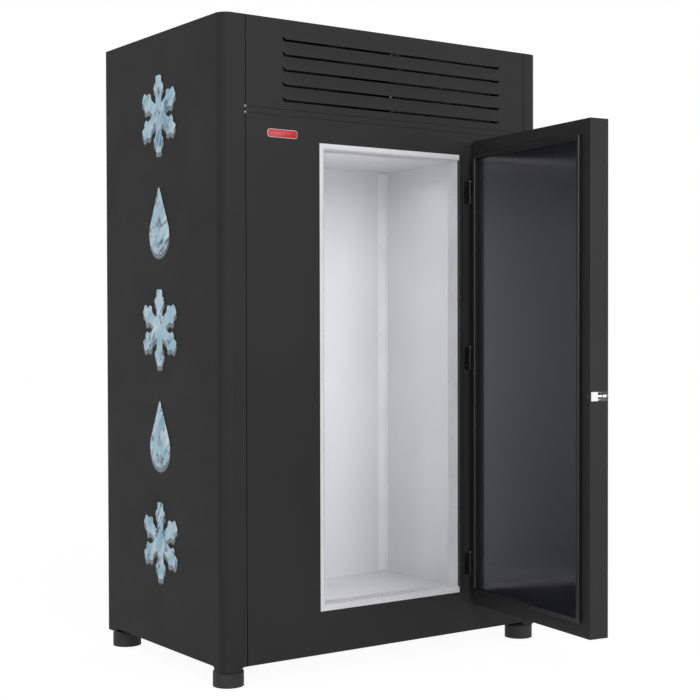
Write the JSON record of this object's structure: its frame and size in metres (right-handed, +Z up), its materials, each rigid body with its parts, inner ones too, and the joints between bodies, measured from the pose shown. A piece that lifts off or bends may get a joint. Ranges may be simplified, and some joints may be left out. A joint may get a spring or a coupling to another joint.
{
  "type": "ice merchandiser freezer",
  "caption": "Upright insulated freezer cabinet with one side-hung solid door, a louvred machine bay on top and levelling feet.",
  "frame": {"origin": "on the floor, at the centre of the rectangle of the four foot pads, which is under the centre of the cabinet", "axes": "+X to the right along the front, +Y from the front to the back, +Z up; the door is stored open by 83 degrees"},
  "size_m": [1.256, 1.4461, 2.008],
  "materials": {
    "cabinet_paint": "satin",
    "door_paint": "satin",
    "galvanised_steel": "matte",
    "foam": "matte",
    "liner_sheet": "satin",
    "white_plastic": "satin",
    "stainless_steel": "satin",
    "rubber": "matte",
    "hinge_paint": "satin",
    "door_liner_gloss": "gloss",
    "gasket_vinyl": "satin",
    "black_plastic": "satin",
    "chrome": "polished",
    "aluminium_fins": "satin",
    "compressor_paint": "satin",
    "copper_tube": "satin",
    "grey_plastic": "satin"
  },
  "bodies": {
    "cabinet": {"side_wrapper_left": "cabinet_paint", "side_wrapper_right": "cabinet_paint", "roof_panel": "cabinet_paint", "base_tray": "cabinet_paint", "back_panel": "cabinet_paint", "front_panel": "cabinet_paint", "front_rail": "cabinet_paint", "louvre_panel": "cabinet_paint", "machine_deck": "galvanised_steel", "foam_left": "foam", "foam_right": "foam", "foam_back": "foam", "foam_floor": "foam", "foam_ceiling": "foam", "foam_front": "foam", "liner_left": "liner_sheet", "liner_right": "liner_sheet", "liner_back": "liner_sheet", "liner_floor": "liner_sheet", "liner_ceiling": "liner_sheet", "liner_front": "liner_sheet", "corner_trims": "liner_sheet", "door_frame": "white_plastic", "hinge_stile": "black_plastic", "corner_legs": "cabinet_paint", "floor_drain": "stainless_steel", "hinge_frame_leaves": "hinge_paint", "hinge_pins": "stainless_steel", "lock_keeper": "galvanised_steel", "condenser_coil": "aluminium_fins", "condenser_shroud": "black_plastic", "condenser_fan_motor": "galvanised_steel", "compressor": "compressor_paint", "compressor_grommets": "rubber", "filter_drier": "copper_tube", "refrigerant_lines": "copper_tube", "evaporator_box": "foam", "evaporator_coil": "aluminium_fins", "evaporator_fan_motor": "black_plastic", "evaporator_grille": "grey_plastic", "drip_pan": "grey_plastic", "control_box": "galvanised_steel", "cable_gland": "black_plastic"},
    "door": {"door_skin": "door_paint", "door_foam": "foam", "door_liner": "door_liner_gloss", "door_gasket": "gasket_vinyl", "handle_cup": "black_plastic", "hinge_door_leaves": "hinge_paint", "lock_case": "stainless_steel", "lock_guide": "white_plastic"},
    "lock_barrel": {"lock_barrel": "chrome"},
    "lock_bolt": {"lock_bolt": "chrome"},
    "condenser_fan": {"condenser_fan": "aluminium_fins"},
    "evaporator_fan": {"evaporator_fan": "black_plastic"},
    "thermostat_knob": {"thermostat_knob": "black_plastic"},
    "foot_front_left": {"foot_front_left": "rubber"},
    "foot_front_right": {"foot_front_right": "rubber"},
    "foot_back_left": {"foot_back_left": "rubber"},
    "foot_back_right": {"foot_back_right": "rubber"}
  },
  "joints": [
    {"name": "door_hinge", "type": "hinge", "parent": "cabinet", "child": "door", "pos_m": [0.318, -0.397, 1], "axis": [0, 0, 1], "range_deg": [-83, 17]},
    {"name": "lock_turn", "type": "hinge", "parent": "door", "child": "lock_barrel", "pos_m": [0.269, -1.01765, 0.87], "axis": [-0.9925, 0.1219, 0], "range_deg": [0, 90]},
    {"name": "lock_bolt_slide", "type": "slide", "parent": "door", "child": "lock_bolt", "axis": [-0.9925, 0.1219, 0], "range_m": [0, 0.02]},
    {"name": "condenser_fan_spin", "type": "hinge", "parent": "cabinet", "child": "condenser_fan", "pos_m": [0.25, -0.296, 1.858], "axis": [0, 1, 0], "continuous": true},
    {"name": "evaporator_fan_spin", "type": "hinge", "parent": "cabinet", "child": "evaporator_fan", "pos_m": [-0.385, 0.075, 1.768], "axis": [0, 0, 1], "continuous": true},
    {"name": "thermostat_turn", "type": "hinge", "parent": "cabinet", "child": "thermostat_knob", "pos_m": [-0.47, -0.3563, 1.796], "axis": [0, 1, 0], "range_deg": [0, 270]},
    {"name": "foot_front_left_level", "type": "slide", "parent": "cabinet", "child": "foot_front_left", "axis": [0, 0, -1], "range_m": [0, 0.02]},
    {"name": "foot_front_right_level", "type": "slide", "parent": "cabinet", "child": "foot_front_right", "axis": [0, 0, -1], "range_m": [0, 0.02]},
    {"name": "foot_back_left_level", "type": "slide", "parent": "cabinet", "child": "foot_back_left", "axis": [0, 0, -1], "range_m": [0, 0.02]},
    {"name": "foot_back_right_level", "type": "slide", "parent": "cabinet", "child": "foot_back_right", "axis": [0, 0, -1], "range_m": [0, 0.02]}
  ],
  "couplings": [
    {"joint": "lock_bolt_slide", "follows": "lock_turn", "m_per_rad": 0.01272}
  ]
}
